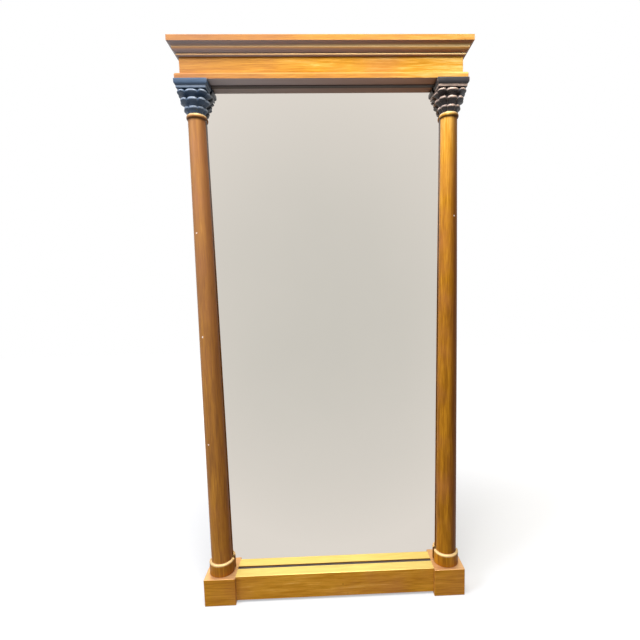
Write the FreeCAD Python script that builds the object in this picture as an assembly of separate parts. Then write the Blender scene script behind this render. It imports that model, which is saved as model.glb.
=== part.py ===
import FreeCAD, Part
import math
import os

# Giltwood pier mirror: a mirror plate in a rabbeted frame, dressed as a small classical doorway with
# half columns on plinth blocks, ebonised leaf capitals, and an entablature with a mitred cornice.
# Millimetres. X runs along the front, Y runs back to the wall, Z runs up from the floor.
# The origin is on the floor, under the middle of the whole piece.

Vector = FreeCAD.Vector

# Overall sizes
column_spacing = 540.0
overall_depth = 76.0
soffit_height = 1160.0

# Fits and cutting
joint_play = 0.15
cut_overrun = 5.0

# Plinth blocks under the columns
plinth_width = 72.0
plinth_height = 66.0
plinth_reach = 36.0
plinth_edge_radius = 1.5

# Base rail between the plinth blocks
base_rail_reach = 28.0
base_rail_lift = 6.5
base_rail_edge_radius = 1.0

# Turned half columns
ring_radius = 29.0
ring_height = 31.0
ring_shoulder = 4.0
shaft_foot_radius = 24.0
shaft_head_radius = 18.0
shaft_swell = 0.8
neck_bead_reach = 3.0
neck_bead_height = 10.0
neck_cove_height = 3.0
neck_fillet_reach = 0.6

# Carved half capitals
capital_height = 62.0
abacus_width = 67.0
abacus_reach = 34.0
abacus_height = 14.0
abacus_nose_radius = 6.0
abacus_top_radius = 3.0
taenia_inset = 3.2
taenia_height = 4.5
bell_foot_radius = 18.6
bell_head_radius = 27.0
leaf_relief = 1.2
leaf_lip = 2.6
leaf_axis_radius = 9.0
leaf_count = 8
leaf_top_shares = (0.265, 0.605, 0.925)
leaf_curl = 7.3
leaf_curl_shares = (0.6, 0.97, 1.0)
leaf_corner_reach_shares = (1.05, 1.12, 1.17)
leaf_width_share = 0.88
leaf_corner_share = 0.57
leaf_belly_share = 0.55
leaf_belly_reach_share = 0.36
leaf_bell_curve_share = 0.38

# Rabbeted frame behind the columns
frame_depth = 32.0
stile_width = 38.0
sight_lip = 5.0
sight_drop = 2.0
head_rail_height = 48.0
tenon_thickness = 10.0
tenon_length_share = 0.63
tenon_height_share = 0.65
foot_tenon_width = 16.0
foot_tenon_thickness = 12.0
foot_tenon_length = 24.0
land_share = 0.4

# Mirror plate and back boards
glass_thickness = 4.0
glass_lap = 8.0
glass_play = 1.0
back_board_thickness = 8.0
back_board_lap = 8.0
back_board_play = 1.0
back_board_count = 3
shiplap = 8.0
shiplap_gap = 0.5
glass_block_width = 7.0
glass_block_gap = 3.0
glass_block_length = 40.0
side_block_shares = (0.1, 0.37, 0.63, 0.9)
end_block_shares = (0.18, 0.5, 0.82)

# Entablature
entablature_height = 80.0
frieze_overhang = 24.5
frieze_thickness = 18.0
end_board_thickness = 18.0
top_board_thickness = 8.0
cornice_height = 33.3
cornice_projection = 18.0
architrave_height = 13.5
architrave_projection = 9.0
glue_block_leg_share = 0.7
glue_block_length = 40.0
glue_block_shares = (0.08, 0.29, 0.5, 0.71, 0.92)

# Moulding outlines as shares of projection and height, each step a line to a point
# or an arc through one point to the next, from the wall side at the bottom to the top
cornice_shares = (
    ((0.14, 0.0),),
    ((0.26, 0.075), (0.14, 0.15)),
    ((0.20, 0.16),),
    ((0.46, 0.25), (0.59, 0.42)),
    ((0.59, 0.435),),
    ((0.70, 0.545), (0.93, 0.645)),
    ((1.0, 0.655),),
    ((1.0, 0.96),),
    ((0.98, 0.988), (0.93, 1.0)),
    ((0.0, 1.0),),
)
architrave_shares = (
    ((0.9, 0.0),),
    ((0.9707, 0.0195), (1.0, 0.0667)),
    ((1.0, 0.55),),
    ((0.87, 0.86), (0.45, 0.98)),
    ((0.0, 1.0),),
)

# Dowels, pegs and screws
dowel_radius = 4.0
dowel_length = 40.0
dowel_shares = (0.32, 0.74)
peg_radius = 3.0
peg_stop = 4.0
frame_screw_radius = 2.0
frame_screw_head_radius = 4.0
frame_screw_head_height = 2.6
frame_screw_bite = 10.0
shaft_screw_shares = (0.12, 0.5, 0.88)
rail_screw_shares = (-0.66, 0.0, 0.66)
small_screw_radius = 1.4
small_screw_head_radius = 3.0
small_screw_head_height = 1.8
small_screw_bite = 10.0
screw_slot_width = 0.8
screw_slot_depth = 1.0
side_screw_shares = (0.08, 0.36, 0.64, 0.92)

# Hanging rings on the back of the stiles
hanger_height = 930.0
strap_width = 12.0
strap_thickness = 1.2
strap_length = 19.0
strap_screw_drop = 10.5
ring_wire_radius = 2.0
ring_strap_gap = 3.0
ring_arm_length = 6.0
ring_bend_radius = 3.0
ring_lift = 0.4
pivot_play = 0.08

# Planes that several pieces share
front_y = -overall_depth / 2
wall_y = overall_depth / 2
face_y = front_y + plinth_reach
frame_back_y = face_y + frame_depth
glass_front_y = face_y + sight_lip
glass_back_y = glass_front_y + glass_thickness
board_front_y = frame_back_y - back_board_thickness
axis_x = column_spacing / 2
stile_inner_x = axis_x - stile_width / 2
stile_outer_x = axis_x + stile_width / 2
plinth_inner_x = axis_x - plinth_width / 2
plinth_outer_x = axis_x + plinth_width / 2
foot_sight_z = plinth_height - sight_drop
head_sight_z = soffit_height - sight_drop
head_rail_top_z = head_sight_z + head_rail_height
top_z = soffit_height + entablature_height
box_top_z = top_z - top_board_thickness
frieze_front_y = face_y - frieze_thickness
frieze_end_x = axis_x + frieze_overhang
end_board_inner_x = frieze_end_x - end_board_thickness
cornice_bottom_z = top_z - cornice_height
ring_top_z = plinth_height + ring_height
capital_foot_z = soffit_height - capital_height
shaft_length = capital_foot_z - ring_top_z
glass_rabbet_x = stile_inner_x + glass_lap + glass_play
glass_foot_z = foot_sight_z - glass_lap
glass_head_z = head_sight_z + glass_lap
glass_rabbet_top_z = glass_head_z + glass_play
board_rabbet_x = glass_rabbet_x + back_board_lap
board_foot_z = glass_foot_z - back_board_lap
board_rabbet_top_z = glass_rabbet_top_z + back_board_lap
land_x = board_rabbet_x + (stile_outer_x - board_rabbet_x) * land_share
tenon_y = face_y + frame_depth / 2
tenon_length = (end_board_inner_x - stile_inner_x) * tenon_length_share
head_tenon_z = (board_rabbet_top_z + head_rail_top_z) / 2
head_tenon_height = (head_rail_top_z - board_rabbet_top_z) * tenon_height_share
foot_tenon_z = (base_rail_lift + board_foot_z) / 2
foot_tenon_height = (board_foot_z - base_rail_lift) * tenon_height_share
glass_block_depth = board_front_y - glass_back_y - glass_block_gap
glue_block_leg = (box_top_z - head_rail_top_z) * glue_block_leg_share
rail_screw_z = base_rail_lift + (foot_sight_z - base_rail_lift) / 2
pivot_y = frame_back_y + strap_thickness + ring_lift + ring_wire_radius


def box(x0, x1, y0, y1, z0, z1):
    """A block between two corners."""
    return Part.makeBox(x1 - x0, y1 - y0, z1 - z0, Vector(x0, y0, z0))


def rod(start, along, radius, length):
    """A round bar from a point along a direction."""
    return Part.makeCylinder(radius, length, start, along)


def line(a, b):
    return Part.LineSegment(a, b).toShape()


def arc(a, through, b):
    return Part.Arc(a, through, b).toShape()


def other_side(shape):
    """The left-hand twin of a right-hand piece."""
    return shape.mirror(Vector(0, 0, 0), Vector(1, 0, 0))


def cut_all(shape, tools):
    return shape.cut(Part.makeCompound(tools)) if tools else shape


def save(name, *solids):
    """Writes one node, a single solid or a group of separate ones."""
    shape = solids[0] if len(solids) == 1 else Part.makeCompound(list(solids))
    shape.exportStep("parts/" + name + ".step")


def save_pair(name, shape):
    save(name + "_right", shape)
    save(name + "_left", other_side(shape))


def half_turned(edges):
    """Turns an outline, drawn in radius and height from the axis, through the front half circle."""
    face = Part.Face(Part.Wire(edges))
    return face.revolve(Vector(0, 0, 0), Vector(0, 0, -1), 180)


def at_column(shape, z):
    shape.translate(Vector(axis_x, face_y, z))
    return shape


# Screws: a slotted countersunk head flush with the back face, and a plain shank


def screw(x, back_y, z, tip_y, radius, head_radius, head_height):
    back = Vector(0, -1, 0)
    head = Part.makeCone(head_radius, radius, head_height, Vector(x, back_y, z), back)
    shank = rod(Vector(x, back_y, z), back, radius, back_y - tip_y)
    slot = box(x - head_radius, x + head_radius, back_y - screw_slot_depth, back_y + cut_overrun,
               z - screw_slot_width / 2, z + screw_slot_width / 2)
    return head.fuse(shank).removeSplitter().cut(slot)


def screw_hole(x, back_y, z, tip_y, radius, head_radius, head_height):
    """The room for a screw: the same outline, a joint's play larger, open at the back face."""
    back = Vector(0, -1, 0)
    head = Part.makeCone(head_radius + joint_play, radius + joint_play, head_height,
                         Vector(x, back_y, z), back)
    shank = rod(Vector(x, back_y + cut_overrun, z), back, radius + joint_play,
                back_y + cut_overrun - tip_y + joint_play)
    return head.fuse(shank)


def frame_screw_places():
    """Where the long screws go: into ring, shaft and capital on both sides, and into both front rails."""
    column_heights = [plinth_height + ring_height / 2, capital_foot_z + capital_height / 2]
    column_heights += [ring_top_z + share * shaft_length for share in shaft_screw_shares]
    places = [(side * land_x, z) for side in (-1, 1) for z in column_heights]
    rail_heights = (rail_screw_z, head_tenon_z)
    places += [(share * stile_inner_x, z) for share in rail_screw_shares for z in rail_heights]
    return places


def frame_screw_set(make):
    sizes = (frame_screw_radius, frame_screw_head_radius, frame_screw_head_height)
    return [make(x, frame_back_y, z, face_y - frame_screw_bite, *sizes) for x, z in frame_screw_places()]


def board_screw_places():
    side_x = glass_rabbet_x + back_board_lap / 2
    foot_z = glass_foot_z - back_board_lap / 2
    head_z = glass_rabbet_top_z + back_board_lap / 2
    heights = [foot_z + share * (head_z - foot_z) for share in side_screw_shares]
    places = [(side * side_x, z) for side in (-1, 1) for z in heights]
    width = 2 * (board_rabbet_x - back_board_play) / back_board_count
    middles = [(index - (back_board_count - 1) / 2) * width for index in range(back_board_count)]
    places += [(x, z) for x in middles for z in (foot_z, head_z)]
    return places


def board_screw_set(make):
    sizes = (small_screw_radius, small_screw_head_radius, small_screw_head_height)
    tip_y = board_front_y - small_screw_bite
    return [make(x, frame_back_y, z, tip_y, *sizes) for x, z in board_screw_places()]


def hanger_screw(make, side):
    sizes = (small_screw_radius, small_screw_head_radius, strap_thickness)
    back_y = frame_back_y + strap_thickness
    z = hanger_height - strap_screw_drop
    return make(side * land_x, back_y, z, frame_back_y - small_screw_bite, *sizes)


def rabbet():
    """The stepped recess for glass and back boards, cut right out through the back."""
    glass_room = box(-glass_rabbet_x, glass_rabbet_x, glass_front_y, wall_y + cut_overrun,
                     glass_foot_z, glass_rabbet_top_z)
    board_room = box(-board_rabbet_x, board_rabbet_x, board_front_y, wall_y + cut_overrun,
                     board_foot_z, board_rabbet_top_z)
    return glass_room.fuse(board_room)


# Joinery that two pieces share: tenons, dowels and pegs


def rail_tenon(x0, z, height, play):
    half_thickness = tenon_thickness / 2 + play
    half_height = height / 2 + play
    return box(x0 - play, x0 + tenon_length + play, tenon_y - half_thickness, tenon_y + half_thickness,
               z - half_height, z + half_height)


def stile_foot_tenon(play):
    half_width = foot_tenon_width / 2 + play
    half_thickness = foot_tenon_thickness / 2 + play
    return box(land_x - half_width, land_x + half_width, tenon_y - half_thickness, tenon_y + half_thickness,
               plinth_height - foot_tenon_length - play, plinth_height + play)


def peg(x, z, back_y, play):
    return rod(Vector(x, back_y + play, z), Vector(0, -1, 0), peg_radius + play,
               back_y - face_y - peg_stop + 2 * play)


def head_peg(play):
    return peg(stile_inner_x + tenon_length / 2, head_tenon_z, frame_back_y, play)


def foot_peg(play):
    return peg(plinth_inner_x + tenon_length / 2, foot_tenon_z, wall_y, play)


def rail_dowels(play):
    start_x = plinth_inner_x - dowel_length / 2 - play
    y = face_y - base_rail_reach / 2
    return [rod(Vector(start_x, y, share * plinth_height), Vector(1, 0, 0), dowel_radius + play,
                dowel_length + 2 * play) for share in dowel_shares]


# Plinth blocks, base rail


def plinth_block():
    block = box(plinth_inner_x, plinth_outer_x, front_y, wall_y, 0, plinth_height)
    eased = [edge for edge in block.Edges if abs(edge.BoundBox.YMax - front_y) < joint_play]
    eased += [edge for edge in block.Edges if edge.BoundBox.XMin > axis_x
              and edge.BoundBox.ZMin > plinth_height / 2 and edge.BoundBox.YLength > plinth_reach]
    block = block.makeFillet(plinth_edge_radius, eased)
    tools = [rabbet(), rail_tenon(plinth_inner_x, foot_tenon_z, foot_tenon_height, joint_play)]
    tools += [stile_foot_tenon(joint_play), foot_peg(joint_play), *rail_dowels(joint_play)]
    for tool in tools:
        block = block.cut(tool)
    return block


def base_rail():
    rail = box(-plinth_inner_x, plinth_inner_x, face_y - base_rail_reach, face_y,
               base_rail_lift, plinth_height)
    eased = [edge for edge in rail.Edges if edge.BoundBox.YMax < face_y - base_rail_reach / 2
             and edge.BoundBox.XLength > plinth_inner_x]
    rail = rail.makeFillet(base_rail_edge_radius, eased)
    holes = rail_dowels(joint_play)
    return cut_all(rail, holes + [other_side(hole) for hole in holes] + frame_screw_set(screw_hole))


# Half columns


def base_ring():
    inner = ring_radius - ring_shoulder
    shoulder = ring_height - ring_shoulder
    mid = ring_shoulder * math.sqrt(0.5)
    edges = [
        line(Vector(0, 0, 0), Vector(ring_radius, 0, 0)),
        line(Vector(ring_radius, 0, 0), Vector(ring_radius, 0, shoulder)),
        arc(Vector(ring_radius, 0, shoulder), Vector(inner + mid, 0, shoulder + mid),
            Vector(inner, 0, ring_height)),
        line(Vector(inner, 0, ring_height), Vector(0, 0, ring_height)),
        line(Vector(0, 0, ring_height), Vector(0, 0, 0)),
    ]
    return cut_all(at_column(half_turned(edges), plinth_height), frame_screw_set(screw_hole))


def column_shaft():
    bead_z = shaft_length - neck_bead_height
    cove_z = bead_z - neck_cove_height
    fillet_radius = shaft_head_radius + neck_fillet_reach
    bead_radius = shaft_head_radius + neck_bead_reach
    swell_radius = (shaft_foot_radius + shaft_head_radius) / 2 + shaft_swell
    swell = Part.BSplineCurve()
    swell.interpolate([Vector(shaft_foot_radius, 0, 0), Vector(swell_radius, 0, cove_z / 2),
                       Vector(shaft_head_radius, 0, cove_z)])
    cove_middle = Vector(shaft_head_radius + neck_fillet_reach / 4, 0, cove_z + neck_cove_height / 2)
    edges = [
        line(Vector(0, 0, 0), Vector(shaft_foot_radius, 0, 0)),
        swell.toShape(),
        arc(Vector(shaft_head_radius, 0, cove_z), cove_middle, Vector(fillet_radius, 0, bead_z)),
        arc(Vector(fillet_radius, 0, bead_z), Vector(bead_radius, 0, bead_z + neck_bead_height / 2),
            Vector(fillet_radius, 0, shaft_length)),
        line(Vector(fillet_radius, 0, shaft_length), Vector(0, 0, shaft_length)),
        line(Vector(0, 0, shaft_length), Vector(0, 0, 0)),
    ]
    return cut_all(at_column(half_turned(edges), ring_top_z), frame_screw_set(screw_hole))


# Carved capital: a bell with three tiers of curled leaves under a square abacus


def bell_height():
    return capital_height - abacus_height - taenia_height


def bell_radius(z):
    share = z / bell_height()
    curve = share * (1 - leaf_bell_curve_share) + share * share * leaf_bell_curve_share
    return bell_foot_radius + (bell_head_radius - bell_foot_radius) * curve


def bell():
    height = bell_height()
    top = Vector(bell_head_radius, 0, height)
    edges = [
        line(Vector(0, 0, 0), Vector(bell_foot_radius, 0, 0)),
        arc(Vector(bell_foot_radius, 0, 0), Vector(bell_radius(height / 2), 0, height / 2), top),
        line(top, Vector(0, 0, height)),
        line(Vector(0, 0, height), Vector(0, 0, 0)),
    ]
    return half_turned(edges)


def leaf(foot_z, tip_z, tip_radius, reach_share):
    """One leaf facing front: it swells round an upright axis of its own and curls out to a lip."""
    lip_radius = tip_radius * reach_share
    foot_radius = bell_radius(foot_z) + leaf_relief
    belly_z = foot_z + (tip_z - foot_z) * leaf_belly_share
    belly_radius = foot_radius + (lip_radius - foot_radius) * leaf_belly_reach_share
    foot = Vector(foot_radius - leaf_axis_radius, 0, foot_z)
    belly = Vector(belly_radius - leaf_axis_radius, 0, belly_z)
    lip = Vector(lip_radius - leaf_axis_radius, 0, tip_z - leaf_lip / 2)
    under_lip = lip - Vector(leaf_lip / 2, 0, leaf_lip / 2)
    over_lip = lip + Vector(-leaf_lip / 2, 0, leaf_lip / 2)
    edges = [
        line(Vector(0, 0, foot_z), foot),
        arc(foot, belly, under_lip),
        arc(under_lip, lip, over_lip),
        line(over_lip, Vector(0, 0, tip_z)),
        line(Vector(0, 0, tip_z), Vector(0, 0, foot_z)),
    ]
    swelling = half_turned(edges)
    swelling.translate(Vector(0, -leaf_axis_radius, 0))
    spread = math.tan(math.pi / leaf_count) * leaf_width_share
    return swelling.common(leaf_arch(foot_radius * spread, foot_z, tip_radius * spread, tip_z, lip_radius))


def leaf_tier(foot_z, tip_z, tip_radius, corner_share):
    """One tier: a leaf at each turn, and every other one reaches out to a corner of the abacus."""
    plain = leaf(foot_z, tip_z, tip_radius, 1)
    corner = leaf(foot_z, tip_z, tip_radius, corner_share)
    turns = range(-(leaf_count // 4), leaf_count // 4 + 1)
    return [(corner if turn % 2 else plain).rotated(Vector(0, 0, 0), Vector(0, 0, 1), turn * 360 / leaf_count)
            for turn in turns]


def leaf_arch(foot_half, foot_z, tip_half, tip_z, lip_radius):
    """A leaf's outline seen from the front, with rounded upper corners, run out from the axis."""
    corner = (tip_z - foot_z) * leaf_corner_share
    corner_mid = corner * math.sqrt(0.5)
    z = tip_z - corner
    inner = tip_half - corner
    edges = [
        line(Vector(-foot_half, 0, foot_z), Vector(foot_half, 0, foot_z)),
        line(Vector(foot_half, 0, foot_z), Vector(tip_half, 0, z)),
        arc(Vector(tip_half, 0, z), Vector(inner + corner_mid, 0, z + corner_mid), Vector(inner, 0, tip_z)),
        line(Vector(inner, 0, tip_z), Vector(-inner, 0, tip_z)),
        arc(Vector(-inner, 0, tip_z), Vector(-inner - corner_mid, 0, z + corner_mid),
            Vector(-tip_half, 0, z)),
        line(Vector(-tip_half, 0, z), Vector(-foot_half, 0, foot_z)),
    ]
    return Part.Face(Part.Wire(edges)).extrude(Vector(0, -lip_radius - cut_overrun, 0))


def abacus():
    """The square cap: a plain fillet below, and a block with a rounded nose on its three open sides."""
    half = abacus_width / 2
    taenia_z = bell_height()
    block_z = taenia_z + taenia_height
    taenia_half = half - taenia_inset
    taenia = box(-taenia_half, taenia_half, taenia_inset - abacus_reach, 0, taenia_z, block_z)
    block = box(-half, half, -abacus_reach, 0, block_z, capital_height)
    low = [edge for edge in block.Edges if edge.BoundBox.ZMax < block_z + joint_play
           and edge.BoundBox.YMin < -abacus_reach / 2]
    block = block.makeFillet(min(abacus_nose_radius, abacus_height / 2), low)
    high = [edge for edge in block.Edges if edge.BoundBox.ZMin > capital_height - joint_play
            and edge.BoundBox.YMin < -abacus_reach / 2]
    return taenia.fuse(block.makeFillet(min(abacus_top_radius, abacus_height / 4), high))


def capital():
    height = bell_height()
    foots = [0] + [share * height for share in leaf_top_shares[:-1]]
    leaves = []
    tiers = zip(foots, leaf_top_shares, leaf_curl_shares, leaf_corner_reach_shares)
    for foot_z, top_share, curl_share, corner_share in tiers:
        tip_z = top_share * height
        leaves += leaf_tier(foot_z, tip_z, bell_radius(tip_z) + leaf_curl * curl_share, corner_share)
    behind = box(-abacus_width, abacus_width, 0, abacus_width, -cut_overrun, capital_height + cut_overrun)
    carved = bell().fuse([abacus(), *leaves]).cut(behind).removeSplitter()
    return cut_all(at_column(carved, capital_foot_z), frame_screw_set(screw_hole))


# Rabbeted frame


def stile():
    post = box(stile_inner_x, stile_outer_x, face_y, frame_back_y, plinth_height, box_top_z)
    notch_outer_x = max(stile_outer_x, frieze_end_x) + cut_overrun
    head_notch = box(end_board_inner_x, notch_outer_x, face_y - cut_overrun,
                     frame_back_y + cut_overrun, soffit_height, box_top_z + cut_overrun)
    post = post.cut(head_notch).fuse(stile_foot_tenon(0)).removeSplitter()
    tools = [rabbet(), rail_tenon(stile_inner_x, head_tenon_z, head_tenon_height, joint_play)]
    tools.append(head_peg(joint_play))
    tools += [*frame_screw_set(screw_hole), *board_screw_set(screw_hole), hanger_screw(screw_hole, 1)]
    for tool in tools:
        post = post.cut(tool)
    return post


def frame_rail(half_length, z0, z1, tenon_z, tenon_height, pegs):
    rail = box(-half_length, half_length, face_y, frame_back_y, z0, z1)
    tenon = rail_tenon(half_length, tenon_z, tenon_height, 0)
    rail = rail.fuse([tenon, other_side(tenon)]).removeSplitter()
    tools = [rabbet(), pegs, other_side(pegs), *frame_screw_set(screw_hole), *board_screw_set(screw_hole)]
    for tool in tools:
        rail = rail.cut(tool)
    return rail


def head_rail():
    return frame_rail(stile_inner_x, head_sight_z, head_rail_top_z, head_tenon_z, head_tenon_height,
                      head_peg(joint_play))


def foot_rail():
    return frame_rail(plinth_inner_x, base_rail_lift, foot_sight_z, foot_tenon_z, foot_tenon_height,
                      foot_peg(joint_play))


# Mirror plate, the wooden blocks that hold it, and the back boards


def mirror_plate():
    half = glass_rabbet_x - glass_play
    return box(-half, half, glass_front_y, glass_back_y, glass_foot_z, glass_head_z)


def wedge(corner, across, length_along):
    """A triangular block in the corner between the rabbet's wall and the back of the glass."""
    a = corner
    b = corner + across
    c = corner + Vector(0, glass_block_depth, 0)
    return Part.Face(Part.Wire([line(a, b), line(b, c), line(c, a)])).extrude(length_along)


def glass_blocks():
    half_block = glass_block_length / 2
    blocks = []
    for share in side_block_shares:
        z = foot_sight_z + share * (head_sight_z - foot_sight_z) - half_block
        for side in (-1, 1):
            corner = Vector(side * glass_rabbet_x, glass_back_y, z)
            across = Vector(-side * glass_block_width, 0, 0)
            blocks.append(wedge(corner, across, Vector(0, 0, glass_block_length)))
    for share in end_block_shares:
        x = -stile_inner_x + share * 2 * stile_inner_x - half_block
        for z, up in ((glass_foot_z, 1), (glass_rabbet_top_z, -1)):
            corner = Vector(x, glass_back_y, z)
            across = Vector(0, 0, up * glass_block_width)
            blocks.append(wedge(corner, across, Vector(glass_block_length, 0, 0)))
    return blocks


def back_board(index):
    """One upright plank; the middle ones lap over the backs of their neighbours."""
    half = board_rabbet_x - back_board_play
    width = 2 * half / back_board_count
    left = -half + index * width
    right = left + width
    mid_y = (board_front_y + frame_back_y) / 2
    lap = shiplap / 2
    middle = (back_board_count - 1) / 2
    left_front = left_back = left
    right_front = right_back = right
    if index > 0:
        step = lap if index <= middle else -lap
        left_front = left + step + shiplap_gap / 2
        left_back = left - step + shiplap_gap / 2
    if index < back_board_count - 1:
        step = lap if index >= middle else -lap
        right_front = right - step - shiplap_gap / 2
        right_back = right + step - shiplap_gap / 2
    head_z = board_rabbet_top_z - back_board_play
    front_half = box(left_front, right_front, board_front_y, mid_y, board_foot_z, head_z)
    back_half = box(left_back, right_back, mid_y, frame_back_y, board_foot_z, head_z)
    plank = front_half.fuse(back_half).removeSplitter()
    return cut_all(plank, board_screw_set(screw_hole))


# Entablature


def moulding(steps, projection, height, place, run):
    """Sweeps a moulding's outline; place turns a share of projection and height into a point."""
    at = place(0, 0)
    edges = []
    for step in steps:
        points = [place(p * projection, z * height) for p, z in step]
        edges.append(line(at, points[0]) if len(points) == 1 else arc(at, *points))
        at = points[-1]
    edges.append(line(at, place(0, 0)))
    return Part.Face(Part.Wire(edges)).extrude(run)


def plan_prism(points, z0, z1):
    corners = [Vector(x, y, z0 - cut_overrun) for x, y in points]
    edges = [line(a, b) for a, b in zip(corners, corners[1:] + corners[:1])]
    return Part.Face(Part.Wire(edges)).extrude(Vector(0, 0, z1 - z0 + 2 * cut_overrun))


def mitred_front(steps, projection, height, z):
    """The length along the front, mitred at both ends."""
    out = projection + cut_overrun
    half = frieze_end_x + out
    blank = moulding(steps, projection, height, lambda p, up: Vector(-half, frieze_front_y - p, z + up),
                     Vector(2 * half, 0, 0))
    plan = [(-frieze_end_x, frieze_front_y), (frieze_end_x, frieze_front_y),
            (half, frieze_front_y - out), (-half, frieze_front_y - out)]
    return blank.common(plan_prism(plan, z, z + height))


def mitred_return(steps, projection, height, z):
    """The short length round the right-hand end, mitred in front and square at the wall."""
    out = projection + cut_overrun
    start_y = frieze_front_y - out
    blank = moulding(steps, projection, height, lambda p, up: Vector(frieze_end_x + p, start_y, z + up),
                     Vector(0, wall_y - start_y, 0))
    plan = [(frieze_end_x, frieze_front_y), (frieze_end_x + out, start_y),
            (frieze_end_x + out, wall_y), (frieze_end_x, wall_y)]
    return blank.common(plan_prism(plan, z, z + height))


def frieze_board():
    board = box(-frieze_end_x, frieze_end_x, frieze_front_y, face_y, soffit_height, box_top_z)
    return cut_all(board, frame_screw_set(screw_hole))


def end_board():
    return box(end_board_inner_x, frieze_end_x, face_y, wall_y, soffit_height, box_top_z)


def top_board():
    return box(-frieze_end_x, frieze_end_x, frieze_front_y, wall_y, box_top_z, top_z)


def glue_blocks():
    blocks = []
    for share in glue_block_shares:
        x = -stile_inner_x + share * 2 * stile_inner_x - glue_block_length / 2
        a = Vector(x, face_y, box_top_z)
        b = Vector(x, face_y + glue_block_leg, box_top_z)
        c = Vector(x, face_y, box_top_z - glue_block_leg)
        section = Part.Face(Part.Wire([line(a, b), line(b, c), line(c, a)]))
        blocks.append(section.extrude(Vector(glue_block_length, 0, 0)))
    return blocks


# Hanging hardware


def hanger_strap():
    """A strap with one screw, rolled at the top into a knuckle that carries the ring's straight side."""
    half = strap_width / 2
    pivot = Vector(land_x - half, pivot_y, hanger_height)
    bore_radius = ring_wire_radius + pivot_play
    foot_z = hanger_height - strap_length + half
    leaf = box(land_x - half, land_x + half, frame_back_y, frame_back_y + strap_thickness,
               foot_z, hanger_height)
    rounded = rod(Vector(land_x, frame_back_y, foot_z), Vector(0, 1, 0), half, strap_thickness)
    knuckle = rod(pivot, Vector(1, 0, 0), bore_radius + strap_thickness, strap_width)
    bore = rod(pivot, Vector(1, 0, 0), bore_radius, strap_width)
    return leaf.fuse([rounded, knuckle]).removeSplitter().cut(bore).cut(hanger_screw(screw_hole, 1))


def bent_wire(centre, start, turn_axis, degrees):
    """A bend of the ring's wire: its round section at one end, turned about the bend's centre."""
    tangent = turn_axis.cross(start - centre)
    disc = Part.Face(Part.Wire(Part.makeCircle(ring_wire_radius, start, tangent)))
    return disc.revolve(centre, turn_axis, degrees)


def hanger_ring():
    """A wire ring with one straight side, hanging down from the knuckle."""
    half = strap_width / 2 + ring_strap_gap + ring_wire_radius
    drop = ring_bend_radius + ring_arm_length
    straight = half - ring_bend_radius
    middle = Vector(land_x, pivot_y, hanger_height)
    pieces = [rod(middle + Vector(-straight, 0, 0), Vector(1, 0, 0), ring_wire_radius, 2 * straight)]
    bow = middle + Vector(0, 0, -drop)
    pieces.append(bent_wire(bow, bow + Vector(half, 0, 0), Vector(0, 1, 0), 180))
    for side in (-1, 1):
        corner = middle + Vector(side * straight, 0, -ring_bend_radius)
        bend_start = corner + Vector(side * ring_bend_radius, 0, 0)
        pieces.append(bent_wire(corner, bend_start, Vector(0, -side, 0), 90))
        arm_start = bow + Vector(side * half, 0, 0)
        pieces.append(rod(arm_start, Vector(0, 0, 1), ring_wire_radius, ring_arm_length))
    return pieces[0].fuse(pieces[1:]).removeSplitter()


def main():
    os.makedirs("parts", exist_ok=True)
    save_pair("plinth_block", plinth_block())
    save("base_rail", base_rail())
    save_pair("base_ring", base_ring())
    save_pair("column_shaft", column_shaft())
    save_pair("capital", capital())
    save_pair("stile", stile())
    save("head_rail", head_rail())
    save("foot_rail", foot_rail())
    save("mirror_plate", mirror_plate())
    save("glass_blocks", *glass_blocks())
    for index in range(back_board_count):
        save("back_board_" + str(index + 1), back_board(index))
    save("frieze_board", frieze_board())
    save_pair("frieze_end", end_board())
    save("top_board", top_board())
    cornice = (cornice_shares, cornice_projection, cornice_height, cornice_bottom_z)
    save("cornice_front", mitred_front(*cornice))
    save_pair("cornice_return", mitred_return(*cornice))
    architrave = (architrave_shares, architrave_projection, architrave_height, soffit_height)
    save("architrave_front", mitred_front(*architrave))
    save_pair("architrave_return", mitred_return(*architrave))
    save("glue_blocks", *glue_blocks())
    pegs = [head_peg(0), foot_peg(0)]
    save("joint_pegs", *pegs, *[other_side(one) for one in pegs])
    dowels = rail_dowels(0)
    save("rail_dowels", *dowels, *[other_side(one) for one in dowels])
    save("frame_screws", *frame_screw_set(screw))
    save("board_screws", *board_screw_set(screw))
    save_pair("hanger_strap", hanger_strap())
    save_pair("hanger_ring", hanger_ring())
    save("hanger_screws", hanger_screw(screw, -1), hanger_screw(screw, 1))


main()
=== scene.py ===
"""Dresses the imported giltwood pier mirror: carved capitals, finishes of every piece, and a plain studio."""

import functools
import math
import random

import bmesh
import bpy
from bpy.props import FloatProperty, FloatVectorProperty, IntProperty, PointerProperty
from mathutils import Matrix, Vector


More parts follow.
